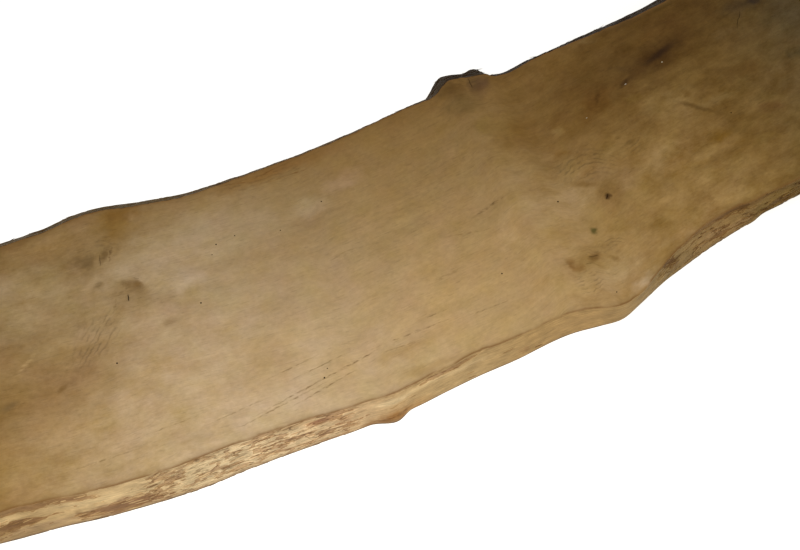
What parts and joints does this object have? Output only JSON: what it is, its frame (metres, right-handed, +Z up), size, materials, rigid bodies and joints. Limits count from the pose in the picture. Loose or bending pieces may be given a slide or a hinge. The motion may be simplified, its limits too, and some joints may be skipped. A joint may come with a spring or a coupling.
{
  "type": "unedged oak board",
  "caption": "Sawn oak plank with natural waney edges along both sides, a gentle sweep, a branch swelling and square-cut ends.",
  "frame": {"origin": "middle of the bounding box of the underside", "axes": "+X along the board, +Y towards the hollow long edge with the branch swelling, +Z up out of the narrower sawn face"},
  "size_m": [1.8, 0.5014, 0.034],
  "materials": {
    "oak": "sawn and unfinished, dry, matt"
  },
  "bodies": {
    "root": {"board": "oak"}
  },
  "joints": []
}
